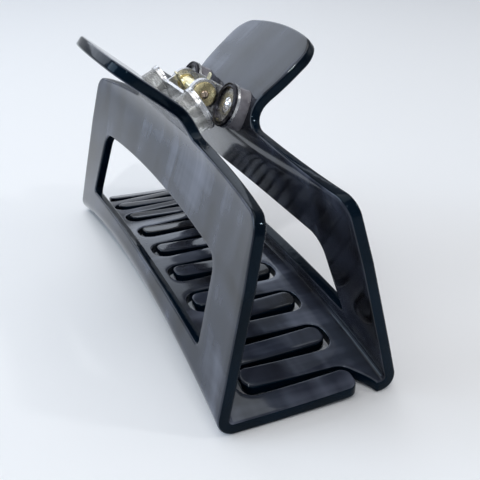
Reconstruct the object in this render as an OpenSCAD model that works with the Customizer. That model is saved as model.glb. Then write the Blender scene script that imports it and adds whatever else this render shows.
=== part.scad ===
// Rectangular claw clip: two jaws bent from sheet, joined by a sprung metal hinge.
// X runs along the hinge, Y across the clip, Z up. The origin is on the table, under the clip's middle.

/* [Jaw] */
// Length of a jaw along the hinge
jaw_l = 110; // [100:1:120]
// Thickness of the sheet
sheet_t = 2.3; // [2:0.1:2.3]
// Distance from the middle plane to the outside of each foot
foot_y = 18.2; // [17.5:0.1:19]
// Height of the foot at mid length above its two ends
foot_arch = 6; // [4:0.5:7]
// Radius on the outside of the foot bend
foot_r = 3; // [2.4:0.1:3.2]
// Inward lean of the panel at mid length, Y per Z
lean_mid = 0.357; // [0.33:0.001:0.37]
// Inward lean of the panel at its two ends, Y per Z
lean_end = 0.2325; // [0.2:0.0005:0.28]
// Height of the shoulder at its outer end
shoulder_z = 38.5; // [37:0.5:39]
// Height of the shoulder where it meets the neck
neck_z = 41.2; // [40.5:0.1:41.5]

/* [Handle] */
// Angle of the handle from vertical
handle_a = 51; // [49:0.5:53]
// Length of the handle line from its start to the top of the tip
handle_l = 29.5; // [26:0.5:31]
// Half width of the neck
neck_w = 15.3; // [15.3:0.1:16]
// Half width of the handle near its tip
handle_w = 17.9; // [17:0.1:19]
// Radius of the bend at the neck, on its hollow side
knee_r = 9; // [8.5:0.1:9.5]

/* [Window] */
// Half length of the window at its lower edge
window_w = 41.7; // [38:0.1:42]
// Height of the lower edge of the window at its ends
window_z0 = 10.4; // [10:0.1:11]
// Height of the upper edge of the window at its ends
window_z1 = 26.3; // [24:0.1:27]

/* [Teeth] */
// Number of teeth on each jaw
teeth = 9; // [9:1:9]
// Width of a tooth
tooth_w = 4.8; // [4:0.1:5]
// Distance of the tooth roots from the middle plane
root_y = 10.9; // [10.5:0.1:11.2]
// Distance that a tooth reaches past the middle plane
tip_y = 9.9; // [8:0.1:10]
// Rise of a tooth tip above its root
tooth_rise = 0.6; // [0:0.1:2.4]

/* [Hinge] */
// Height of the hinge axis
axis_z = 46; // [45.8:0.1:46.5]
// Angle of each hinge leaf below horizontal
leaf_a = 25.8; // [25:0.1:26.5]
// Distance of the front of a leaf from the axis
leaf_d = 3.2; // [3.15:0.01:3.3]
// Thickness of the leaf metal
leaf_t = 0.6; // [0.5:0.05:0.65]
// Distance of the spacers from mid length
boss_x = 11.3; // [11.2:0.1:11.6]
// Radius of a spacer
boss_r = 4.3; // [3.8:0.1:4.4]
// Radius of an ear around the axis
ear_r = 3.1; // [2.8:0.05:3.1]
// Radius of the pin
pin_r = 0.9; // [0.7:0.05:1]
// Outer radius of the brass bushes
bush_r = 2; // [1.8:0.05:2.1]
// Running clearance on radius between ear and bush
run_gap = 0.05; // [0.02:0.01:0.09]

/* [Hidden] */

half_l = jaw_l / 2;
pitch = (jaw_l - tooth_w) / (teeth - 0.5);
tooth_len = root_y + tip_y;
tip_r = 1.9;           // corners of a tooth
gap_r = 3;             // corners of the gap between two teeth
end_run = 5.5;         // the far end runs up in an S curve over this length
end_rise = 2.5;
toe_r = 1.2;           // corner of the far end
floor_run = 18;        // from the roots round the foot to the window
window_top_w = window_w - 1.8;
window_h = 16.8;
low_bow = 1.8;         // arch of the window's lower edge
high_bow = 1.5;        // arch of its upper edge
low_r = 1.2;           // lower corners of the window
high_r = 3;            // upper corners of the window
upper_h = 12.5;        // from the window to the shoulder
side_r = 3.2;          // outer corners of the shoulder
neck_fillet = 5;
// start of the handle line, which is the same along the whole jaw
handle_y0 = -0.56;
handle_z0 = 37.1;
handle_0 = [handle_y0, handle_z0];
handle_dir = [sin(handle_a), cos(handle_a)];
handle_crown = 2.2;    // arch of the handle's end
handle_tip_r = 4.5;
handle_run = 21;       // from the shoulder to the handle's end
widest = 13.5;         // from the shoulder to the handle's widest place
lines = 2 * teeth + 3;
key_lines = [0, 2, 6, 12, 16, lines - 1];
collar_r = 4.6;
collar_h = 0.6;
collar_wall = 1;
leaf_back = leaf_d + leaf_t;
ear_x = 5;             // inner face of the inner ear
ear_gap = 0.1;         // between the two ears on one side
rivet_r = 0.8;
rivet_head_r = 1.7;
spring_r = 1.6;
spring_in = 1.05;
spring_half = 4.6;
leg_t = 0.35;

function unit(v) = v / norm(v);
function turn(v, a) = [v[0] * cos(a) - v[1] * sin(a), v[0] * sin(a) + v[1] * cos(a)];

function mix(a, b, f) = a + (b - a) * f;

// How far a rounded corner of radius r draws back the edge, at distance d from its end
function ease(r, d) = d >= r ? 0 : r - sqrt(r * r - pow(r - max(d, 0), 2));

// Cross section of the bent sheet at x: an arched floor, the foot bend, a leaning panel,
// the knee bend and the handle
function foot_z(x) = foot_arch * (1 - pow(x / half_l, 2));
function lean(x) = lean_mid - (lean_mid - lean_end) * pow(x / half_l, 2);
function rise(y) = y > root_y ? 0 : tooth_rise * pow((root_y - y) / (root_y + tip_y), 2);
function foot_turn(x) = 90 + atan(lean(x));
function foot_back(x) = foot_r * tan(foot_turn(x) / 2);
function foot_len(x) = foot_r * foot_turn(x) * PI / 180;
function panel_up(x) = unit([-lean(x), 1]);
function knee_reach(x) =
    (foot_y - lean(x) * (handle_z0 - foot_z(x)) - handle_y0) / (handle_dir[0] + lean(x) * handle_dir[1]);
function knee(x) = handle_0 + knee_reach(x) * handle_dir;
function knee_turn(x) = acos(panel_up(x) * handle_dir);
function knee_back(x) = knee_r * tan(knee_turn(x) / 2);
function knee_len(x) = knee_r * knee_turn(x) * PI / 180;
function panel_len(x) = norm(knee(x) - [foot_y, foot_z(x)]) - foot_back(x) - knee_back(x);
function knee_centre(x) =
    let (up = panel_up(x))
    knee(x) - knee_back(x) * up + knee_r * [up[1], -up[0]];

// Point of the section at x, at distance w along it from the start of the foot bend, t deep in the sheet
function place(x, w, t) =
    let (
        up = panel_up(x),
        out = [up[1], -up[0]],
        foot_c = [foot_y - foot_back(x), foot_z(x) + foot_r],
        w1 = foot_len(x),
        w2 = w1 + panel_len(x),
        w3 = w2 + knee_len(x)
    )
    w <= 0 ? [foot_c[0] + w, foot_z(x) + rise(foot_c[0] + w) + t] :
    w <= w1 ? foot_c + (foot_r - t) * turn([0, -1], w / w1 * foot_turn(x)) :
    w <= w2 ? [foot_y, foot_z(x)] + (foot_back(x) + w - w1) * up - t * out :
    w <= w3 ? knee_centre(x) - (knee_r + t) * turn(out, -(w - w2) / knee_len(x) * knee_turn(x)) :
    knee(x) + (knee_back(x) + w - w3) * handle_dir + t * [-handle_dir[1], handle_dir[0]];

// Distance along the section at x where its outside reaches height z
function way_to(x, z) =
    let (
        up = panel_up(x),
        low = foot_z(x) + foot_back(x) * up[1],
        w2 = foot_len(x) + panel_len(x),
        high = low + panel_len(x) * up[1]
    )
    z <= high ? foot_len(x) + (z - low) / up[1] :
    w2 + knee_r * (atan(lean(x)) + asin((z - knee_centre(x)[1]) / knee_r)) * PI / 180;

// The lines that part the rows: tips, roots, lower and upper edge of the window, shoulder, end of the handle
function tip_way(x) = foot_back(x) - foot_y - tip_y;
function root_way(x) =
    let (f = max(0, min(1, (x - half_l + end_run) / end_run)))
    root_y + end_rise * f * f * (3 - 2 * f) + foot_back(x) - foot_y;
function bow(x, w) = max(0, 1 - pow(x / w, 2));
function low_way(x) = way_to(x, window_z0 + low_bow * bow(x, window_w));
function high_way(x) = way_to(x, window_z1 + high_bow * bow(x, window_top_w));
function shoulder_way(x) =
    way_to(x, mix(neck_z, shoulder_z, max(0, min(1, (abs(x) - neck_w) / (half_l - 1.5 - neck_w)))));
function end_way(x) =
    foot_len(x) + panel_len(x) + knee_len(x) + handle_l - handle_crown * pow(x / handle_w, 2)
    - knee_reach(x) - knee_back(x);

// Lines along the sheet, as their X in a row. Each tooth has two, and three more round off the far end
function spread(keys, j) =
    let (i = j < 2 ? 0 : j < 6 ? 1 : j < 12 ? 2 : j < 16 ? 3 : 4)
    mix(keys[i], keys[i + 1], (j - key_lines[i]) / (key_lines[i + 1] - key_lines[i]));
function even(side, inner) =
    let (mid = inner * 4.3 / 10)
    [-side, -inner, -mid, mid, inner, side];

function tooth_x(j, d) =
    let (
        x0 = -half_l + floor(j / 2) * pitch,
        left = j % 2 == 0,
        draw = ease(tip_r, d),
        spill = j == 0 ? 0 : ease(gap_r, tooth_len - d)
    )
    j > 2 * teeth - 1 ? mix(tooth_x(2 * teeth - 1, d), half_l - toe_r, (j - 2 * teeth + 1) / 3) :
    left ? x0 + draw - spill : x0 + tooth_w - draw + spill;

function floor_x(j, g) =
    j == lines - 1 ? half_l - ease(toe_r, g * floor_run) :
    mix(tooth_x(j, tooth_len), spread(even(half_l, window_w - low_r), j), g);

function window_x(j, f) =
    let (
        d = f * window_h,
        inner = mix(window_w, window_top_w, f) - ease(low_r, d) - ease(high_r, window_h - d)
    )
    spread(even(half_l - 0.4 * f, inner), j);

function upper_x(j, f) =
    let (
        side = mix(half_l - 0.4, half_l - 1.5, f) - ease(side_r, (1 - f) * upper_h),
        neck = neck_w + neck_fillet,
        inner = mix(window_top_w - high_r, mix(neck, side, 4 / 6), f),
        mid = mix((window_top_w - high_r) * 0.43, neck, f)
    )
    spread([-side, -inner, -mid, mid, inner, side], j);

function handle_x(j, f) =
    let (
        d = f * handle_run,
        g = d / widest,
        wide = handle_w - (g < 1 ? (handle_w - neck_w) * pow(1 - g, 2) : 0.3 * pow(g - 1, 2)),
        half = wide + ease(neck_fillet, d) - ease(handle_tip_r, handle_run - d)
    )
    mix(-half, half, (j - 6) / 6);

// Rows of corners: each is its band and its place across that band, and a band ends where the next begins
ROWS = concat(
    [for (f = [0, 0.013, 0.04, 0.095, 0.25, 0.45, 0.65, 0.851, 0.92, 0.97, 1]) [0, f]],
    [for (i = [0 : 8]) [1, i == 0 ? 0.014 : i == 1 ? 0.035 : (i - 1) / 7]],
    [for (f = [0.018, 0.07, 0.28, 0.5, 0.732, 0.851, 0.94, 0.985, 1]) [2, f]],
    [for (f = [0.2, 0.4, 0.6, 0.74, 0.87, 0.95, 0.985, 1]) [3, f]],
    [for (d = [0.35, 1.2, 2.6, 5, 6.5, 8.5, 11, 13.5, 16.5, 18.5, 20, 20.7, 21]) [4, d / handle_run]]
);

function row_x(row, j) =
    row[0] == 0 ? tooth_x(j, row[1] * tooth_len) :
    row[0] == 1 ? floor_x(j, row[1]) :
    row[0] == 2 ? window_x(j, row[1]) :
    row[0] == 3 ? upper_x(j, row[1]) :
    handle_x(j, row[1]);

// Band 1 goes from the roots to the foot bend in 2 rows, round it in 3, and up to the window in 2
function foot_way(x, f) =
    f < 2 / 7 + 0.001 ? mix(root_way(x), 0, f * 7 / 2) :
    f < 5 / 7 + 0.001 ? foot_len(x) * (f * 7 - 2) / 3 :
    mix(foot_len(x), low_way(x), (f * 7 - 5) / 2);

function row_way(row, x) =
    row[0] == 0 ? mix(tip_way(x), root_way(x), row[1]) :
    row[0] == 1 ? foot_way(x, row[1]) :
    row[0] == 2 ? mix(low_way(x), high_way(x), row[1]) :
    row[0] == 3 ? mix(high_way(x), shoulder_way(x), row[1]) :
    mix(shoulder_way(x), end_way(x), row[1]);

// Whether there is sheet between rows r and r + 1 and lines j and j + 1
function filled(r, j) =
    r < 0 || r > len(ROWS) - 2 || j < 0 || j > lines - 2 ? false :
    let (band = ROWS[r + 1][0])
    band == 0 ? j % 2 == 0 && j < 2 * teeth :
    band == 2 ? j < 2 || j >= 16 :
    band == 4 ? j >= 6 && j < 12 :
    true;

// One jaw, on the +Y side
module jaw() {
    n = len(ROWS) * lines;
    points = [
        for (t = [0, sheet_t], row = ROWS, j = [0 : lines - 1])
            let (
                x = row_x(row, j),
                p = place(x, row_way(row, x), t)
            )
            [x, p[0], p[1]]
    ];
    faces = [
        for (r = [0 : len(ROWS) - 2], j = [0 : lines - 2])
            if (filled(r, j))
                let (
                    a = r * lines + j,
                    b = a + 1,
                    c = b + lines,
                    d = a + lines
                )
                each concat(
                    [[a, b, c], [a, c, d], [n + a, n + c, n + b], [n + a, n + d, n + c]],
                    filled(r - 1, j) ? [] : [[b, a, n + a], [b, n + a, n + b]],
                    filled(r + 1, j) ? [] : [[d, c, n + c], [d, n + c, n + d]],
                    filled(r, j - 1) ? [] : [[a, d, n + d], [a, n + d, n + a]],
                    filled(r, j + 1) ? [] : [[c, b, n + b], [c, n + b, n + c]]
                )
    ];
    polyhedron(points, faces, convexity = 10);
}

// Puts a hinge piece in place: local Y runs from the axis out to the jaw, local Z along the leaf
module on_leaf() {
    translate([0, 0, axis_z])
        rotate([-leaf_a, 0, 0])
            children();
}

// A cylinder along local Y from d0 to d1
module post(x, d0, d1, r) {
    translate([x, d0, 0])
        rotate([-90, 0, 0])
            cylinder(h = d1 - d0, r = r, $fn = 64);
}

// A cylinder along X
module rod(x0, x1, r) {
    translate([x0, 0, 0])
        rotate([0, 90, 0])
            cylinder(h = x1 - x0, r = r, $fn = 64);
}

// Round spacer, hollowed to sit on the neck bend
module spacer(x) {
    centre = knee_centre(x);
    seat_gap = 0.05;
    on_leaf()
        difference() {
            post(x, leaf_back, leaf_back + 4.5, boss_r);
            post(x, leaf_back - 1, leaf_back + 1.8, rivet_r);
            rotate([leaf_a, 0, 0])
                translate([0, centre[0], centre[1] - axis_z])
                    rod(-30, 30, knee_r + sheet_t + seat_gap);
        }
}

// Bright ring on the front of a lug
module collar(x) {
    on_leaf()
        difference() {
            post(x, leaf_d - collar_h, leaf_d, collar_r);
            post(x, leaf_d - collar_h - 1, leaf_d + 1, collar_r - collar_wall);
        }
}

// Hinge leaf: a base strip with round lugs, and two ears around the axis
module leaf(hole_r) {
    strip_w = 5.6;
    starts = [ear_x, -ear_x - 2 * leaf_t - ear_gap];
    on_leaf()
        difference() {
            union() {
                for (s = [-1, 1])
                    post(s * boss_x, leaf_d, leaf_back, collar_r);
                translate([-boss_x, leaf_d, -strip_w / 2])
                    cube([2 * boss_x, leaf_t, strip_w]);
                for (x = starts) {
                    rod(x, x + leaf_t, ear_r);
                    translate([x, 0, -strip_w / 2 + 0.1])
                        cube([leaf_t, leaf_back, strip_w - 0.2]);
                }
            }
            for (s = [-1, 1])
                post(s * boss_x, leaf_d - 1, leaf_back + 1, rivet_r);
            rod(-20, 20, hole_r);
        }
}

// Two domed rivets through the lugs of a leaf
module rivets() {
    dome_h = 0.7;
    dome_r = (pow(rivet_head_r, 2) + pow(dome_h, 2)) / (2 * dome_h);
    on_leaf()
        for (s = [-1, 1]) {
            post(s * boss_x, leaf_d, leaf_back + 1.8, rivet_r);
            translate([s * boss_x, 0, 0])
                intersection() {
                    translate([0, leaf_d + dome_r - dome_h, 0])
                        sphere(r = dome_r, $fn = 96);
                    post(0, leaf_d - dome_h, leaf_d, rivet_head_r);
                }
        }
}

module pin() {
    end = ear_x + 2 * leaf_t + ear_gap + 0.9;
    translate([0, 0, axis_z])
        rod(-end, end, pin_r);
}

// Flanged bush through both ears on one side
module bush(side) {
    x0 = ear_x - 0.15;
    x1 = ear_x + 2 * leaf_t + ear_gap + 0.1;
    flange_t = 0.4;
    translate([0, 0, axis_z])
        rotate([0, 0, side > 0 ? 0 : 180])
            difference() {
                union() {
                    rod(x0, x1 + flange_t, bush_r);
                    rod(x1, x1 + flange_t, bush_r + 0.55);
                }
                rod(x0 - 1, x1 + 2, pin_r);
            }
}

// Rolled strip spring: a tube around the pin with a leg to each jaw
module roll_spring() {
    leg_w = 3.6;
    leg_l = 4.6;
    translate([0, 0, axis_z])
        difference() {
            union() {
                rod(-spring_half, spring_half, spring_r);
                for (s = [-1, 1])
                    rotate([0, 0, s > 0 ? 0 : 180])
                        rotate([-leaf_a, 0, 0])
                            translate([0.5, spring_r - leg_t, 0])
                                cube([leg_w, leg_t, leg_l]);
            }
            rod(-10, 10, spring_in);
        }
}

module left() {
    rotate([0, 0, 180])
        children();
}

module left_jaw() { color("dimgray") left() jaw(); }
module right_jaw() { color("dimgray") jaw(); }
module left_front_spacer() { color("gray") left() spacer(-boss_x); }
module left_rear_spacer() { color("gray") left() spacer(boss_x); }
module right_front_spacer() { color("gray") spacer(boss_x); }
module right_rear_spacer() { color("gray") spacer(-boss_x); }
module left_front_collar() { color("silver") left() collar(-boss_x); }
module left_rear_collar() { color("silver") left() collar(boss_x); }
module right_front_collar() { color("silver") collar(boss_x); }
module right_rear_collar() { color("silver") collar(-boss_x); }
module left_leaf() { color("gainsboro") left() leaf(bush_r); }
module right_leaf() { color("gainsboro") leaf(bush_r + run_gap); }
module left_rivets() { color("silver") left() rivets(); }
module right_rivets() { color("silver") rivets(); }
module hinge_pin() { color("lightgray") pin(); }
module front_bush() { color("goldenrod") bush(1); }
module rear_bush() { color("goldenrod") bush(-1); }
module spring() { color("gold") roll_spring(); }

left_jaw();
right_jaw();
left_front_spacer();
left_rear_spacer();
right_front_spacer();
right_rear_spacer();
left_front_collar();
left_rear_collar();
right_front_collar();
right_rear_collar();
left_leaf();
right_leaf();
left_rivets();
right_rivets();
hinge_pin();
front_bush();
rear_bush();
spring();
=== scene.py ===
import math

import bmesh
import bpy
import numpy as np
from mathutils import Matrix


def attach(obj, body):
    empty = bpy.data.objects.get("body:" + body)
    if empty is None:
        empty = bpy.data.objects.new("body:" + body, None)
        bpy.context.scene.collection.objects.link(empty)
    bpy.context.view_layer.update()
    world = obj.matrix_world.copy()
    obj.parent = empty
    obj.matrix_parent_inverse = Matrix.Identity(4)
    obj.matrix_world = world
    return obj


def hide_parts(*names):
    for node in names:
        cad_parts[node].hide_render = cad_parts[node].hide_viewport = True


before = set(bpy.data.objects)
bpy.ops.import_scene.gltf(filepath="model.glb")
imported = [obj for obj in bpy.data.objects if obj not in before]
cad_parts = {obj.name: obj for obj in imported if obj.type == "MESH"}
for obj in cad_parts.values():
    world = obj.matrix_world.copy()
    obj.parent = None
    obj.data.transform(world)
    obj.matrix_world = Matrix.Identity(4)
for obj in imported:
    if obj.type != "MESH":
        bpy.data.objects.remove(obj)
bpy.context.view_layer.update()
print("frame loaded")

mm = 0.001
scene = bpy.context.scene


# The eye, its direction in degrees and its lens
camera = {
    "place": (149.44 * mm, -50.21 * mm, 84.52 * mm),
    "azimuth": 68.20,
    "elevation": 25.36,
    "roll": -1.66,
    "lens": 56.1,
    "sensor": 36,
    "clipStart": 0.005,
}


# The eye looks against its back vector, turned by the roll about it
def makeCamera(c):
    a, e, r = (math.radians(c[k]) for k in ("azimuth", "elevation", "roll"))
    back = np.array([math.sin(a) * math.cos(e), -math.cos(a) * math.cos(e), math.sin(e)])
    side = np.array([math.cos(a), math.sin(a), 0.0])
    up = np.cross(back, side)
    right = side * math.cos(r) + up * math.sin(r)
    top = up * math.cos(r) - side * math.sin(r)
    data = bpy.data.cameras.new("clipCamera")
    data.lens = c["lens"]
    data.sensor_width = c["sensor"]
    data.clip_start = c["clipStart"]
    eye = bpy.data.objects.new("clipCamera", data)
    turned = np.column_stack([right, top, back])
    eye.matrix_world = Matrix.Translation(c["place"]) @ Matrix(turned.tolist()).to_4x4()
    scene.collection.objects.link(eye)
    scene.camera = eye


makeCamera(camera)
scene.view_settings.view_transform = "Standard"
print("camera set")


# A shader socket that takes + and * as Math nodes
class Field:
    def __init__(self, paint, socket):
        self.paint = paint
        self.socket = socket

    def _math(self, operation, a, b):
        return self.paint.node("ShaderNodeMath", {"operation": operation}, {0: a, 1: b})

    def __add__(self, other):
        return self._math("ADD", self, other)

    def __mul__(self, other):
        return self._math("MULTIPLY", self, other)

    def __radd__(self, other):
        return self._math("ADD", other, self)

    def __rmul__(self, other):
        return self._math("MULTIPLY", other, self)


# A material and its Principled shader
class Paint:
    def __init__(self, name):
        self.material = bpy.data.materials.new(name)
        self.material.use_nodes = True
        self.tree = self.material.node_tree
        self.shader = self.tree.nodes["Principled BSDF"]

    # One node of a type, with its settings first and then its sockets.
    # Returns its first output, or the one named
    def node(self, kind, settings=None, inputs=None, output=0):
        made = self.tree.nodes.new(kind)
        for key, value in (settings or {}).items():
            if key == "stops":
                ramp = made.color_ramp
                while len(ramp.elements) < len(value):
                    ramp.elements.new(0.5)
                for element, (place, color) in zip(ramp.elements, value):
                    element.position = place
                    element.color = (*color, 1)
            else:
                setattr(made, key, value)
        for key, value in (inputs or {}).items():
            self.feed(made.inputs[key], value)
        return Field(self, made.outputs[output])

    # Gives a socket a link or a value
    def feed(self, socket, value):
        if isinstance(value, Field):
            self.tree.links.new(value.socket, socket)
        else:
            socket.default_value = value

    def set(self, **values):
        for key, value in values.items():
            self.feed(self.shader.inputs[key.replace("_", " ")], value)

    def place(self, scale=(1, 1, 1), turn=(0, 0, 0), uv=None):
        if uv:
            source = self.node("ShaderNodeUVMap", {"uv_map": uv})
        else:
            source = self.node("ShaderNodeTexCoord", output="Object")
        return self.node("ShaderNodeMapping", inputs={"Vector": source, "Scale": scale, "Rotation": turn})

    def noise(self, where, scale, detail=4.0, rough=0.5, twist=0.0):
        return self.node(
            "ShaderNodeTexNoise",
            inputs={
                "Vector": where, "Scale": scale, "Detail": detail, "Roughness": rough, "Distortion": twist,
            },
        )

    def ramp(self, value, stops):
        return self.node("ShaderNodeValToRGB", {"stops": stops}, {"Fac": value})

    # Maps a value from one range to another, held at the ends
    def span(self, value, low, high, toLow=0.0, toHigh=1.0):
        return self.node(
            "ShaderNodeMapRange",
            {"clamp": True},
            {"Value": value, "From Min": low, "From Max": high, "To Min": toLow, "To Max": toHigh},
        )

    # A mix node for colours, whose colour sockets are its seventh and eighth
    def mix(self, factor, a, b):
        return self.node("ShaderNodeMix", {"data_type": "RGBA"}, {0: factor, 6: (*a, 1), 7: (*b, 1)}, 2)

    def bump(self, height, strength, distance):
        inputs = {"Height": height, "Strength": strength, "Distance": distance}
        return self.node("ShaderNodeBump", inputs=inputs)


# Sizes in millimetres, as in the frame
jaw = {
    "length": 110, "sheet": 2.3, "cutRound": 0.5, "cutSteps": 6, "cornerSteps": 8, "fine": 4,
    "rows": (12, 22, 8, 9, 10), "rowStart": 0.6,  # rows in each band between its corners
    "footY": 18.2, "footArch": 6, "footR": 3, "leanMid": 0.357, "leanEnd": 0.2325,
    "shoulderZ": 38.5, "neckZ": 41.2, "sideR": 3.2,
    "teeth": 9, "toothW": 4.8, "rootY": 10.9, "tipY": 9.9, "toothRise": 0.6, "tipR": 1.9, "gapR": 3,
    "endRun": 5.5, "endRise": 2.5, "toeR": 1.2, "floorRun": 18,
    "windowW": 41.7, "windowTopW": 39.9, "windowLow": 10.4, "windowHigh": 26.3,
    "lowBow": 1.8, "highBow": 1.5, "lowR": 1.2, "highR": 3, "windowH": 16.8, "upperH": 12.5,
    "kneeR": 9, "handleAngle": 51, "handleLength": 29.5, "handleStart": (-0.56, 37.1),
    "neckW": 15.3, "neckFillet": 5, "handleW": 17.9, "crown": 2.2, "handleTipR": 4.5,
    "handleRun": 21, "widest": 13.5, "handleTaper": 0.3, "middleShare": 0.43,
    "sideDraw": 0.4, "shoulderDraw": 1.1, "rowsAtFoot": (0.25, 0.65),
}
halfLength = jaw["length"] / 2
toothPitch = (jaw["length"] - jaw["toothW"]) / (jaw["teeth"] - 0.5)
toothLength = jaw["rootY"] + jaw["tipY"]
handleUp = (math.sin(math.radians(jaw["handleAngle"])), math.cos(math.radians(jaw["handleAngle"])))
lastLine = 2 * jaw["teeth"] + 2
windowLines = (2, 6, 12, 16)  # lines at the window's sides and the neck's sides


# The bent section at x: arched floor, foot bend, leaning panel, knee bend and handle line
def sectionAt(x):
    s = {}
    far = (x / halfLength) ** 2
    s["floorZ"] = jaw["footArch"] * (1 - far)
    lean = jaw["leanMid"] - (jaw["leanMid"] - jaw["leanEnd"]) * far
    long = np.sqrt(1 + lean**2)
    s["lean"] = lean
    s["upY"], s["upZ"] = -lean / long, 1 / long
    s["footTurn"] = math.pi / 2 + np.arctan(lean)
    s["footBack"] = jaw["footR"] * np.tan(s["footTurn"] / 2)
    y0, z0 = jaw["handleStart"]
    s["reach"] = (jaw["footY"] - lean * (z0 - s["floorZ"]) - y0) / (handleUp[0] + lean * handleUp[1])
    s["kneeY"], s["kneeZ"] = y0 + s["reach"] * handleUp[0], z0 + s["reach"] * handleUp[1]
    s["kneeTurn"] = np.arccos(s["upY"] * handleUp[0] + s["upZ"] * handleUp[1])
    s["kneeBack"] = jaw["kneeR"] * np.tan(s["kneeTurn"] / 2)
    panel = np.hypot(s["kneeY"] - jaw["footY"], s["kneeZ"] - s["floorZ"]) - s["footBack"] - s["kneeBack"]
    s["way1"] = jaw["footR"] * s["footTurn"]
    s["way2"] = s["way1"] + panel
    s["way3"] = s["way2"] + jaw["kneeR"] * s["kneeTurn"]
    s["centreY"] = s["kneeY"] - s["kneeBack"] * s["upY"] + jaw["kneeR"] * s["upZ"]
    s["centreZ"] = s["kneeZ"] - s["kneeBack"] * s["upZ"] - jaw["kneeR"] * s["upY"]
    return s


# Bends flat places into the jaw: x along it, way along the section from the foot bend, deep into the sheet
def bend(x, way, deep):
    s = sectionAt(x)
    outY, outZ = s["upZ"], -s["upY"]
    startY = jaw["footY"] - s["footBack"]
    y = startY + way
    rise = np.where(y > jaw["rootY"], 0, jaw["toothRise"] * ((jaw["rootY"] - y) / toothLength) ** 2)
    floor = (y, s["floorZ"] + rise + deep)
    turn = np.clip(way / jaw["footR"], 0, s["footTurn"])
    r = jaw["footR"] - deep
    foot = (startY + r * np.sin(turn), s["floorZ"] + jaw["footR"] - r * np.cos(turn))
    run = s["footBack"] + way - s["way1"]
    panel = (jaw["footY"] + run * s["upY"] - deep * outY, s["floorZ"] + run * s["upZ"] - deep * outZ)
    turn = np.clip((way - s["way2"]) / jaw["kneeR"], 0, s["kneeTurn"])
    r = jaw["kneeR"] + deep
    knee = (
        s["centreY"] - r * (outY * np.cos(turn) + outZ * np.sin(turn)),
        s["centreZ"] - r * (outZ * np.cos(turn) - outY * np.sin(turn)),
    )
    run = s["kneeBack"] + way - s["way3"]
    handle = (
        s["kneeY"] + run * handleUp[0] - deep * handleUp[1],
        s["kneeZ"] + run * handleUp[1] + deep * handleUp[0],
    )
    zones = [way <= 0, way <= s["way1"], way <= s["way2"], way <= s["way3"]]
    pick = lambda i: np.select(zones, [part[i] for part in (floor, foot, panel, knee)], handle[i])
    return np.stack([x + 0 * way, pick(0), pick(1)], axis=-1)


# Way along the section at x to where its outside reaches height z
def wayTo(x, z):
    s = sectionAt(x)
    low = s["floorZ"] + s["footBack"] * s["upZ"]
    high = low + (s["way2"] - s["way1"]) * s["upZ"]
    swing = np.arctan(s["lean"]) + np.arcsin(np.clip((z - s["centreZ"]) / jaw["kneeR"], -1, 1))
    return np.where(z <= high, s["way1"] + (z - low) / s["upZ"], s["way2"] + jaw["kneeR"] * swing)


# How far a corner of radius r draws its edge back at distance d from its end
def ease(r, d):
    return r - np.sqrt(r * r - np.clip(r - d, 0, r) ** 2)


# Distances that divide a corner of radius r into equal angles
def arcSteps(r, count):
    return r * (1 - np.cos(np.linspace(0, math.pi / 2, count + 1)))


# The five rows of places where bands meet, at x; e is the inset that the rounded cut edge takes
def bandWay(level, x, e):
    s = sectionAt(x)
    if level == 0:
        return s["footBack"] - jaw["footY"] - jaw["tipY"] + e
    if level == 1:
        f = np.clip((x - halfLength + jaw["endRun"]) / jaw["endRun"], 0, 1)
        slope = jaw["endRise"] * f * f * (3 - 2 * f)
        return jaw["rootY"] + slope + s["footBack"] - jaw["footY"] + e
    if level == 2:
        bow = np.maximum(0, 1 - (x / jaw["windowW"]) ** 2)
        return wayTo(x, jaw["windowLow"] + jaw["lowBow"] * bow) - e
    if level == 3:
        bow = np.maximum(0, 1 - (x / jaw["windowTopW"]) ** 2)
        return wayTo(x, jaw["windowHigh"] + jaw["highBow"] * bow) + e
    if level == 4:
        reach = halfLength - jaw["sideDraw"] - jaw["shoulderDraw"] - jaw["neckW"]
        f = np.clip((np.abs(x) - jaw["neckW"]) / reach, 0, 1)
        return wayTo(x, jaw["neckZ"] + (jaw["shoulderZ"] - jaw["neckZ"]) * f) - e
    end = jaw["handleLength"] - jaw["crown"] * (x / jaw["handleW"]) ** 2 - e
    return s["way3"] + end - s["reach"] - s["kneeBack"]


# X of the tooth lines at distance d from the tips: two lines a tooth, and three more for the far end
def toothLines(d, e):
    lines = []
    draw = ease(jaw["tipR"] - e, d)
    spill = ease(jaw["gapR"] + e, toothLength - d)
    for i in range(jaw["teeth"]):
        x = -halfLength + i * toothPitch
        lines.append(x + e + draw - (spill if i else 0))
        lines.append(x + jaw["toothW"] - e - draw + spill)
    side = halfLength - jaw["toeR"]
    for i in (1, 2, 3):
        lines.append(lines[2 * jaw["teeth"] - 1] * (1 - i / 3) + side * i / 3)
    return lines


# X of all lines when only the sides, the window's sides and the middle are fixed
def spreadLines(side, inner, middle):
    marks = [-side, -inner, -middle, middle, inner, side]
    return np.interp(range(lastLine + 1), [0, *windowLines, lastLine], marks)


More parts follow.
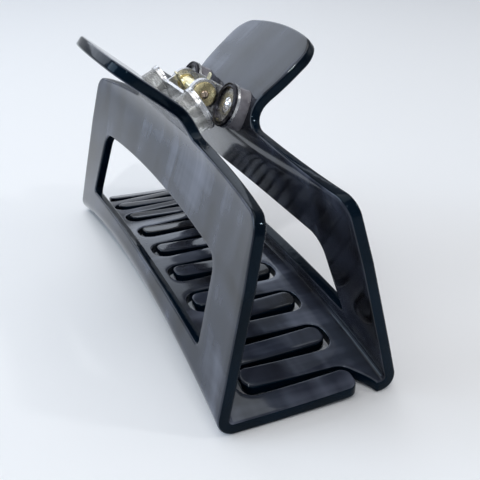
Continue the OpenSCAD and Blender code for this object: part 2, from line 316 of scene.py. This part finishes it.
# X of all lines at place f in a band
def bandLines(band, f, e):
    side, top, share = halfLength - e, jaw["windowTopW"] + e, jaw["middleShare"]
    if band == 0:
        return toothLines(f * toothLength, e)
    if band == 1:
        inner = jaw["windowW"] - jaw["lowR"]
        lines = (1 - f) * np.array(toothLines(toothLength, e)) + f * spreadLines(side, inner, inner * share)
        lines[lastLine] = side - ease(jaw["toeR"] - e, f * jaw["floorRun"])
        return lines
    if band == 2:
        d = f * jaw["windowH"]
        inner = jaw["windowW"] + e + (top - jaw["windowW"] - e) * f
        inner -= ease(jaw["lowR"] + e, d) + ease(jaw["highR"] + e, jaw["windowH"] - d)
        return spreadLines(side - jaw["sideDraw"] * f, inner, inner * share)
    neck = jaw["neckW"] + jaw["neckFillet"]
    if band == 3:
        start = top - jaw["highR"] - e
        corner = ease(jaw["sideR"] - e, (1 - f) * jaw["upperH"])
        out = side - jaw["sideDraw"] - jaw["shoulderDraw"] * f - corner
        post = 1 - windowLines[0] / windowLines[1]  # how far out the window's side lines end
        inner = start + (neck + (out - neck) * post - start) * f
        return spreadLines(out, inner, start * share + (neck - start * share) * f)
    d = f * jaw["handleRun"]
    g = d / jaw["widest"]
    taper = (jaw["handleW"] - jaw["neckW"]) * (1 - g) ** 2 if g < 1 else jaw["handleTaper"] * (g - 1) ** 2
    wide = jaw["handleW"] - taper
    half = wide - e + ease(jaw["neckFillet"] + e, d) - ease(jaw["handleTipR"] - e, jaw["handleRun"] - d)
    return np.interp(range(lastLine + 1), windowLines[1:3], [-half, half])


# Rows across the flat sheet as (band, place in it), close together where its outline is round
def sheetRows(e):
    def band(number, length, lowR, highR, between):
        low, high = arcSteps(lowR, jaw["cornerSteps"]), arcSteps(highR, jaw["cornerSteps"])
        mid = np.linspace(lowR, length - highR, between + 1)[1:-1]
        d = np.concatenate([low, mid, length - high[::-1]]) / length
        return [(number, f) for f in d[1:]]

    counts = jaw["rows"]
    rows = [(0, 0.0)] + band(0, toothLength, jaw["tipR"] - e, jaw["gapR"] + e, counts[0])
    toe = arcSteps(jaw["toeR"] - e, jaw["cutSteps"])[1:] / jaw["floorRun"]
    rows += [(1, f) for f in np.concatenate([toe, np.linspace(toe[-1], 1, counts[1])[1:]])]
    rows += band(2, jaw["windowH"], jaw["lowR"] + e, jaw["highR"] + e, counts[2])
    rows += band(3, jaw["upperH"], jaw["rowStart"], jaw["sideR"] - e, counts[3])
    return rows + band(4, jaw["handleRun"], jaw["neckFillet"] + e, jaw["handleTipR"] - e, counts[4])


# Way of a row at place f in a band; in the floor band the rows gather round the foot bend
def rowWay(band, f, x, e):
    if band != 1:
        return bandWay(band, x, e) * (1 - f) + bandWay(band + 1, x, e) * f
    root, foot, low = bandWay(1, x, e), sectionAt(x)["way1"], bandWay(2, x, e)
    start, end = jaw["rowsAtFoot"]
    if f < start:
        return root * (1 - f / start)
    if f < end:
        return foot * (f - start) / (end - start)
    return foot + (low - foot) * (f - end) / (1 - end)


# A jaw: a grid over the flat sheet, left out where it is cut away, bent on both faces,
# and joined round every edge by a profile with two rounded corners
def jawMesh(name, flip):
    e, t, fine = jaw["cutRound"], jaw["sheet"], jaw["fine"]
    windowStart, neckStart, neckEnd, windowEnd = windowLines
    rows = sheetRows(e)
    fineLines = np.linspace(0, lastLine, lastLine * fine + 1)
    x = np.array([np.interp(fineLines, range(lastLine + 1), bandLines(b, f, e)) for b, f in rows])
    way = np.array([rowWay(b, f, x[i], e) for i, (b, f) in enumerate(rows)])
    bands = np.array([b for b, f in rows])[1:, None]
    line = (np.arange(lastLine * fine) // fine)[None, :]
    teeth = (bands == 0) & (line % 2 == 0) & (line < 2 * jaw["teeth"])
    posts = (bands == 2) & ((line < windowStart) | (line >= windowEnd))
    handle = (bands == 4) & (line >= neckStart) & (line < neckEnd)
    filled = (bands == 1) | (bands == 3) | teeth | posts | handle
    count, wide = x.shape
    index = np.arange(count * wide).reshape(count, wide)
    a, b, c, d = index[:-1, :-1], index[:-1, 1:], index[1:, 1:], index[1:, :-1]
    outer = np.stack([a, b, c, d], -1)[filled]
    # edges of the filled cells, each with the sheet on its left
    around = np.pad(filled, 1)
    gaps = [~around[:-2, 1:-1], ~around[1:-1, 2:], ~around[2:, 1:-1], ~around[1:-1, :-2]]
    sides = zip(gaps, (a, b, c, d), (b, c, d, a))
    edges = np.concatenate([np.stack([p[filled & gap], q[filled & gap]], -1) for gap, p, q in sides])
    flat = np.stack([x.ravel(), way.ravel()], -1)
    toNext = np.full(count * wide, -1)
    toNext[edges[:, 0]] = edges[:, 1]
    toLast = np.full(count * wide, -1)
    toLast[edges[:, 1]] = edges[:, 0]
    rim = edges[:, 0]
    unit = lambda v: v / np.linalg.norm(v, axis=-1, keepdims=True)
    ahead, behind = unit(flat[toNext[rim]] - flat[rim]), unit(flat[rim] - flat[toLast[rim]])
    along = unit(ahead + behind)
    out = np.stack([along[:, 1], -along[:, 0]], -1)
    out /= np.clip((along * ahead).sum(-1, keepdims=True), 0.75, 1)  # longer at corners, up to a third
    # rings of the edge profile, as distance out and depth
    turn = np.linspace(0, math.pi / 2, jaw["cutSteps"])
    outBy = np.concatenate([e * np.sin(turn), e * np.sin(turn[::-1])])
    deep = np.concatenate([e * (1 - np.cos(turn)), t - e * (1 - np.cos(turn[::-1]))])
    ringFlat = flat[rim][None] + out[None] * outBy[1:-1, None, None]
    ringDeep = np.broadcast_to(deep[1:-1, None], ringFlat.shape[:2])
    places = np.concatenate([
        bend(flat[:, 0], flat[:, 1], np.zeros(len(flat))),
        bend(flat[:, 0], flat[:, 1], np.full(len(flat), t)),
        bend(ringFlat[..., 0], ringFlat[..., 1], ringDeep).reshape(-1, 3),
    ])
    sheetPlace = np.concatenate([flat, flat, ringFlat.reshape(-1, 2)])
    inner = outer[:, ::-1] + len(flat)
    order = np.full(count * wide, -1)
    order[rim] = np.arange(len(rim))
    after = order[toNext[rim]]
    starts = [rim] + [2 * len(flat) + k * len(rim) + np.arange(len(rim)) for k in range(len(outBy) - 2)]
    starts.append(rim + len(flat))
    walls = [np.stack([p[after], p, q, q[after]], -1) for p, q in zip(starts[:-1], starts[1:])]
    faces = np.concatenate([outer, inner] + walls)[:, ::-1]
    # the middle rings of the profile are the cut, which has a material of its own, darker with painted shade
    wall = np.arange(len(faces)) - len(outer) - len(inner)
    ring = wall // len(rim)
    softRings = jaw["cutSteps"] // 2
    isWall = (wall >= 0) & (ring >= softRings) & (ring < len(walls) - softRings)
    used, faces = np.unique(faces, return_inverse=True)
    faces = faces.reshape(-1, 4)
    places = places[used] * mm * (np.array([-1, -1, 1]) if flip else 1)
    made = gridObject(name, places, faces, {"sheet": sheetPlace[used] * mm})
    made.data.polygons.foreach_set("material_index", isWall.astype(np.int32))
    return made


# An object from places and four-sided faces, with UV maps
def gridObject(name, places, faces, uvs=None):
    mesh = bpy.data.meshes.new(name)
    mesh.from_pydata(places.tolist(), [], faces.tolist())
    loops = np.array(faces).ravel()
    for key, uv in (uvs or {}).items():
        layer = mesh.uv_layers.new(name=key)
        layer.data.foreach_set("uv", uv[loops].astype(np.float32).ravel())
    mesh.shade_smooth()
    made = bpy.data.objects.new(name, mesh)
    scene.collection.objects.link(made)
    return made


leftJaw = jawMesh("leftJaw", True)
rightJaw = jawMesh("rightJaw", False)
print("jaws made:", len(leftJaw.data.polygons), "faces each")


acetate = {
    "dark": (0.007, 0.0065, 0.008), "mid": (0.032, 0.037, 0.054), "light": (0.135, 0.150, 0.20),
    "layers": [
        # stretch, turn, scale, detail, twist, share
        ((1, 0.2, 1), 0.18, 95, 3, 0.4, 0.47),  # bands across the clip
        ((0.16, 1, 1), -0.12, 85, 3, 0.3, 0.47),  # bands along it
        ((1, 0.07, 1), 0.5, 520, 2, 0.2, 0.06),  # fine threads
    ],
    "marbleFrom": 0.385, "marbleTo": 0.64, "middle": 0.5,
    "smears": 90, "roughness": 0.07, "smearBy": 0.06, "waves": 70, "waveStrength": 0.10, "waveDepth": 0.0005,
    "ior": 1.42, "tint": (0.82, 0.92, 1, 1),
    # painted shade: the cut's near-black, bluish colours and blue reflection tint stand in for the dark
    # surroundings its faces reflect
    "cutShadeDark": (0.0005, 0.002, 0.005), "cutShadeLight": (0.001, 0.006, 0.014),
    "cutTones": 60, "ripples": 260, "cutSmooth": 0.06, "cutRough": 0.13,
    "cutStrength": 0.16, "cutDepth": 0.0004,
    "cutIor": 1.24, "cutShadeTint": (0.6, 0.82, 1, 1),
}


# Soft bands of smoke along and across the sheet, in a polished clear skin
def acetatePaint(a):
    p = Paint("smokyAcetate")
    across, along, threads = (
        p.noise(p.place(stretch, (0, 0, turn), "sheet"), scale, detail, 0.5, twist) * share
        for stretch, turn, scale, detail, twist, share in a["layers"]
    )
    marble = p.span(across + along + threads, a["marbleFrom"], a["marbleTo"])
    smears = p.noise(p.place(), a["smears"], 5, 0.6)
    p.set(Base_Color=p.ramp(marble, [(0, a["dark"]), (a["middle"], a["mid"]), (1, a["light"])]))
    p.set(Roughness=p.span(smears, 0.35, 0.7, a["roughness"], a["roughness"] + a["smearBy"]))
    p.set(Normal=p.bump(p.noise(p.place(), a["waves"], 2, 0.5), a["waveStrength"], a["waveDepth"]))
    p.set(IOR=a["ior"], Specular_Tint=a["tint"])
    return p.material


# The cut edges: painted shade, a near-black bluish colour and a blue-tinted reflection standing in for the
# dark surroundings they reflect; tumbled smooth, with faint ripples left by the cutter
def cutPaint(a):
    p = Paint("polishedCutPaintedShade")
    tone = p.noise(p.place(), a["cutTones"], 3, 0.5)
    ripples = p.noise(p.place(scale=(1, 1, 0.5)), a["ripples"], 3, 0.5)
    # painted shade: the cut's colour varies between two near-black tones
    p.set(Base_Color=p.mix(p.span(tone, 0.35, 0.7), a["cutShadeDark"], a["cutShadeLight"]))
    p.set(Roughness=p.span(ripples, 0.3, 0.7, a["cutSmooth"], a["cutRough"]))
    p.set(Normal=p.bump(ripples, a["cutStrength"], a["cutDepth"]))
    p.set(IOR=a["cutIor"], Specular_Tint=a["cutShadeTint"])
    return p.material


smoke, cutEdge = acetatePaint(acetate), cutPaint(acetate)
for piece, body, node in ((leftJaw, "left", "left_jaw"), (rightJaw, "right", "right_jaw")):
    piece.data.materials.append(smoke)
    piece.data.materials.append(cutEdge)
    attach(piece, body)
    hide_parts(node)


metal = {
    "wear": 500, "wornShade": 0.7, "matteBy": 0.15, "pitDepth": 0.00008,
    "smoothPits": 900, "smoothGrain": 0.15,
}


# A plated or turned metal with worn patches and fine pits
def metalPaint(name, color, roughness, grain=metal["smoothGrain"], pits=metal["smoothPits"]):
    p = Paint(name)
    wear = p.noise(p.place(), metal["wear"], 5, 0.6)
    fine = p.noise(p.place(), pits, 4, 0.6)
    shade = p.mix(p.span(wear, 0.35, 0.75), color, tuple(c * metal["wornShade"] for c in color))
    p.set(Base_Color=shade, Metallic=1.0)
    p.set(Roughness=p.span(fine, 0.3, 0.7, roughness, roughness + metal["matteBy"]))
    p.set(Normal=p.bump(fine, grain, metal["pitDepth"]))
    return p.material


chrome = metalPaint("platedSteel", (0.82, 0.83, 0.85), 0.08)
pitted = metalPaint("pittedPlate", (0.74, 0.74, 0.75), 0.2, 0.6, 2600)
# a dark metal for the right rings; the left rings, the same part, get chrome
black = metalPaint("darkRingMetal", (0.05, 0.05, 0.06), 0.06)
steel = metalPaint("pinSteel", (0.62, 0.5, 0.4), 0.2)
brass = metalPaint("turnedBrass", (0.86, 0.74, 0.42), 0.16, 0.5, 700)
gold = metalPaint("springGold", (0.94, 0.88, 0.62), 0.2)


spacer = {
    "clouds": 260, "facets": 700, "smooth": 0.03, "rough": 0.16, "ior": 1.45, "depth": 0.0003,
    # colour of the clouds and between them, strength of the facets, clearness
    "left": ((0.84, 0.84, 0.80), (0.98, 0.98, 0.95), 1.0, 0.82),
    "right": ((0.34, 0.32, 0.36), (0.72, 0.70, 0.75), 0.15, 0.6),
}


# Clear acetate, seen through, with a few cloudy places and a worked surface
def spacerPaint(name, cloudy, between, worked, clear):
    p = Paint(name)
    clouds = p.noise(p.place(), spacer["clouds"], 4, 0.6)
    facets = p.noise(p.place(), spacer["facets"], 3, 0.6)
    p.set(Base_Color=p.ramp(clouds, [(0.3, cloudy), (0.7, between)]))
    p.set(Roughness=p.span(clouds, 0.3, 0.7, spacer["smooth"], spacer["rough"]))
    p.set(IOR=spacer["ior"], Transmission_Weight=clear)
    p.set(Normal=p.bump(facets, worked, spacer["depth"]))
    return p.material


clearSpacer = spacerPaint("clearSpacer", *spacer["left"])
smokySpacer = spacerPaint("smokySpacer", *spacer["right"])


# Sizes in millimetres, as in the frame
hinge = {
    "axisZ": 46, "leafAngle": 25.8, "leafD": 3.2, "leafT": 0.6, "bossX": 11.3,
    "ringR": 4.6, "ringHole": 3.6, "ringH": 0.6, "ringRound": 0.13,
    "groove": 0.14, "grooveMouth": 0.22, "grooveFloor": 0.12,
    "earX": 5, "earGap": 0.1, "bushR": 2.0, "flange": 0.55, "flangeT": 0.4,
    "bushIn": 0.15, "bushOut": 0.1, "bushRound": 0.12, "pinR": 0.9, "pinOut": 0.9, "pinDome": 0.5,
    "rollR": 1.6, "rollIn": 1.05, "rollHalf": 4.6, "wires": 26, "ridge": 0.12,
    "legX": 2.3, "legHalf": 0.8, "legT": 0.3, "legRound": 0.14, "legTall": 4.4, "legTip": 0.5, "legIn": 0.2,
}


# Joins the places that meet in one point, so that a pole or tip is closed
def joinPoles(made):
    joined = bmesh.new()
    joined.from_mesh(made.data)
    bmesh.ops.remove_doubles(joined, verts=joined.verts, dist=1e-7)
    joined.to_mesh(made.data)
    joined.free()
    return made


# A profile of (distance along the axis, radius) in millimetres, carried round an axis.
# It is closed in itself, or with poles it starts and ends on the axis
def lathe(name, profile, start, axis, count=72, poles=False):
    profile = np.array(profile)
    axis = np.array(axis, float) / np.linalg.norm(axis)
    side = np.cross(axis, [0.31, 0.17, 0.93])
    side /= np.linalg.norm(side)
    other = np.cross(axis, side)
    turn = np.linspace(0, 2 * math.pi, count, endpoint=False)
    spoke = np.cos(turn)[:, None] * side + np.sin(turn)[:, None] * other
    places = np.array(start) + profile[None, :, :1] * axis + profile[None, :, 1:] * spoke[:, None, :]
    index = np.arange(count * len(profile)).reshape(count, len(profile))
    after = np.roll(index, -1, axis=0)
    faces = np.stack([index, after, np.roll(after, -1, axis=1), np.roll(index, -1, axis=1)], -1)
    if poles:
        return joinPoles(gridObject(name, places.reshape(-1, 3) * mm, faces[:, :-1].reshape(-1, 4)))
    return gridObject(name, places.reshape(-1, 3) * mm, faces.reshape(-1, 4))


# A closed profile with its corners rounded by r, from corners given in order
def rounded(corners, r, steps=5):
    made = []
    for i, b in enumerate(corners):
        a, b, c = (np.array(corners[k % len(corners)], float) for k in (i - 1, i, i + 1))
        u, v = (a - b) / np.linalg.norm(a - b), (c - b) / np.linalg.norm(c - b)
        half = math.acos(np.clip(u @ v, -1, 1)) / 2
        cut = min(r / math.tan(half), 0.45 * np.linalg.norm(a - b), 0.45 * np.linalg.norm(c - b))
        for f in np.linspace(0, 1, steps + 1):
            made.append((1 - f) ** 2 * (b + u * cut) + 2 * f * (1 - f) * b + f * f * (b + v * cut))
    return np.array(made)


# A place straight out from the hinge axis to a leaf, on the right jaw's side or the left's
def onLeaf(x, out, left):
    a = math.radians(hinge["leafAngle"])
    side = -1 if left else 1
    return [x, side * out * math.cos(a), hinge["axisZ"] - out * math.sin(a)]


# The direction out from the hinge axis to a leaf
def leafAxis(left):
    a = math.radians(hinge["leafAngle"])
    return [0, math.cos(a) * (-1 if left else 1), -math.sin(a)]


# Gives a piece its material and its body in the frame, and hides the frame's node that it replaces
def dress(piece, paint, body, node):
    piece.data.materials.append(paint)
    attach(piece, body)
    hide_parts(node)


# Profile of a ring with a groove round its face and soft corners
def ringProfile():
    h, out, hole = hinge["ringH"], hinge["ringR"], hinge["ringHole"]
    middle, mouth, floor = (out + hole) / 2, hinge["grooveMouth"], hinge["grooveFloor"]
    face = [(0, hole), (h, hole), (h, out), (0, out), (0, middle + mouth), (hinge["groove"], middle + floor)]
    face += [(hinge["groove"], middle - floor), (0, middle - mouth)]
    return rounded(face, hinge["ringRound"])[::-1]


for left in (True, False):
    for front in (True, False):
        x = hinge["bossX"] * (1 if front else -1)
        word = ("left" if left else "right") + ("Front" if front else "Rear")
        node = ("left_" if left else "right_") + ("front_" if front else "rear_")
        start = onLeaf(x, hinge["leafD"] - hinge["ringH"], left)
        ring = lathe(word + "Ring", ringProfile(), start, leafAxis(left))
        # the right rings are darker than the left ones
        dress(ring, chrome if left else black, "left" if left else "right", node + "collar")


# Rolled strip spring: a tube round the pin, ridged by the absolute sine of its turns, and its two legs
def makeRoll():
    half = hinge["rollHalf"]
    x = np.linspace(-half, half, 6 * hinge["wires"] + 1)
    ridge = hinge["ridge"] * np.abs(np.sin(math.pi * hinge["wires"] * (x + half) / (2 * half)))
    out = np.stack([x, hinge["rollR"] - hinge["ridge"] + ridge], -1)
    back = np.stack([x[::-1], np.full(len(x), hinge["rollIn"])], -1)
    roll = lathe("springRoll", np.concatenate([back, out]), (0, 0, hinge["axisZ"]), (1, 0, 0), 48)
    for side, body in ((-1, "left"), (1, "right")):
        leg = springLeg(side)
        leg.data.materials.append(gold)
        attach(leg, body)
    return roll


# A leg: a narrow strip with rounded edges that stands on the roll and narrows to a round tip
def springLeg(side):
    a = math.radians(hinge["leafAngle"])
    half, thick, tip = hinge["legHalf"], hinge["legT"] / 2, hinge["legTip"]
    edge = rounded([(-half, -thick), (half, -thick), (half, thick), (-half, thick)], hinge["legRound"])
    turn = np.linspace(0.2, math.pi / 2, 7)
    straight = hinge["legTall"] - tip
    up = np.concatenate([[0, 0.02], np.linspace(0.15, straight, 8), straight + tip * np.sin(turn)])
    narrow = np.concatenate([[0], np.ones(9), np.cos(turn)])
    x = hinge["legX"] + edge[None, :, 0] * narrow[:, None]
    out = hinge["rollR"] - hinge["legIn"] + edge[None, :, 1] * np.minimum(narrow[:, None] * 2, 1)
    up = np.repeat(up[:, None], len(edge), 1)
    y, z = out * math.cos(a) + up * math.sin(a), -out * math.sin(a) + up * math.cos(a)
    places = np.stack([x * side, y * side, z + hinge["axisZ"]], -1)
    index = np.arange(places.shape[0] * len(edge)).reshape(-1, len(edge))
    wrap = np.roll(index, -1, axis=1)
    faces = np.stack([index[:-1], wrap[:-1], wrap[1:], index[1:]], -1).reshape(-1, 4)
    return joinPoles(gridObject("nearLeg" if side > 0 else "farLeg", places.reshape(-1, 3) * mm, faces))


dress(makeRoll(), gold, "left", "spring")


# Profile of a flanged bush with soft corners
def bushProfile():
    start = hinge["earX"] - hinge["bushIn"]
    end = hinge["earX"] + 2 * hinge["leafT"] + hinge["earGap"] + hinge["bushOut"]
    tip = end + hinge["flangeT"]
    corners = [(start, hinge["pinR"]), (tip, hinge["pinR"]), (tip, hinge["bushR"] + hinge["flange"])]
    corners += [(end, hinge["bushR"] + hinge["flange"]), (end, hinge["bushR"]), (start, hinge["bushR"])]
    return rounded(corners, hinge["bushRound"])[::-1]


for word, side in (("front", 1), ("rear", -1)):
    bush = lathe(word + "Bush", bushProfile(), (0, 0, hinge["axisZ"]), (side, 0, 0), 64)
    dress(bush, brass, "left", word + "_bush")


# Profile of the pin: a straight side between two quarter circles that end on the axis
def pinProfile():
    end = hinge["earX"] + 2 * hinge["leafT"] + hinge["earGap"] + hinge["pinOut"]
    dome, tip = np.linspace(0, math.pi / 2, 9), hinge["pinDome"]
    right = np.stack([end - tip + tip * np.sin(dome), hinge["pinR"] * np.clip(np.cos(dome), 0, 1)], -1)
    left = right[::-1] * [-1, 1]
    return np.concatenate([left, right])


pin = lathe("hingePin", pinProfile(), (0, 0, hinge["axisZ"]), (1, 0, 0), 48, True)
dress(pin, steel, "left", "hinge_pin")

# the nodes that stay get a finish by their side and kind
finishes = {"left_spacer": clearSpacer, "right_spacer": smokySpacer, "leaf": pitted, "rivets": chrome}
for name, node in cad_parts.items():
    first, last = name.split("_")[0], name.split("_")[-1]
    finish = finishes.get(first + "_" + last) or finishes.get(last)
    if finish:
        for socket in node.material_slots:
            socket.material = finish
print("hinge made and finished")


studio = {
    "floor": (0.86, 0.865, 0.88), "floorRoughness": 0.55, "floorReach": 2.4, "floorSteps": 41,
    "sweepFrom": 1.0, "sweepRise": 0.6,
    "air": (0.75, 0.79, 0.84), "airLight": 0.42,
    "lamps": [
        # name, place, target, size, watts, colour
        ("topSoftbox", (-0.10, -0.05, 0.75), (0, 0, 0.02), (0.8, 0.6), 2.2, (1, 0.98, 0.955)),
        ("keySoftbox", (-0.25, -0.70, 0.50), (0, 0, 0.02), (0.6, 0.45), 3.1, (0.72, 0.86, 1)),
        ("backSoftbox", (-1.05, -0.05, 0.55), (0, 0, 0.04), (1.3, 0.55), 2.9, (0.84, 0.90, 1)),
        ("fillSoftbox", (0.1, 0.75, 0.40), (0, 0, 0.03), (0.4, 0.4), 0.35, (1, 0.97, 0.94)),
        ("frontSpot", (0.42, -0.22, 0.55), (0, 0, 0.03), (0.03, 0.03), 0.8, (1, 1, 1)),
        ("sideSpot", (0.30, 0.45, 0.50), (0, 0, 0.03), (0.03, 0.03), 0.45, (1, 1, 1)),
    ],
}


# A pale floor that is flat out to a radius and rises with the square of the distance past it, and the lamps
def makeStudio(s):
    count = s["floorSteps"]
    step = np.linspace(-1, 1, count)
    gx, gy = np.meshgrid(step * s["floorReach"], step * s["floorReach"])
    gz = np.clip(np.hypot(gx, gy) - s["sweepFrom"], 0, None) ** 2 * s["sweepRise"]
    places = np.stack([gx.ravel(), gy.ravel(), gz.ravel()], -1)
    index = np.arange(count * count).reshape(count, count)
    faces = np.stack([index[:-1, :-1], index[:-1, 1:], index[1:, 1:], index[1:, :-1]], -1).reshape(-1, 4)
    floor = gridObject("floorSweep", places, faces)
    p = Paint("paleFloor")
    p.set(Base_Color=(*s["floor"], 1), Roughness=s["floorRoughness"])
    floor.data.materials.append(p.material)
    world = bpy.data.worlds.new("studioAir")
    world.use_nodes = True
    world.node_tree.nodes["Background"].inputs["Color"].default_value = (*s["air"], 1)
    world.node_tree.nodes["Background"].inputs["Strength"].default_value = s["airLight"]
    scene.world = world
    for name, place, target, size, power, color in s["lamps"]:
        data = bpy.data.lights.new(name, "AREA")
        data.shape = "RECTANGLE"
        data.size, data.size_y = size
        data.energy = power
        data.color = color
        lamp = bpy.data.objects.new(name, data)
        back = np.array(place) - np.array(target)
        back /= np.linalg.norm(back)
        side = np.cross([0, 0, 1], back)
        side /= np.linalg.norm(side)
        turned = np.column_stack([side, np.cross(back, side), back])
        lamp.matrix_world = Matrix.Translation(place) @ Matrix(turned.tolist()).to_4x4()
        scene.collection.objects.link(lamp)


makeStudio(studio)
print("studio lit")
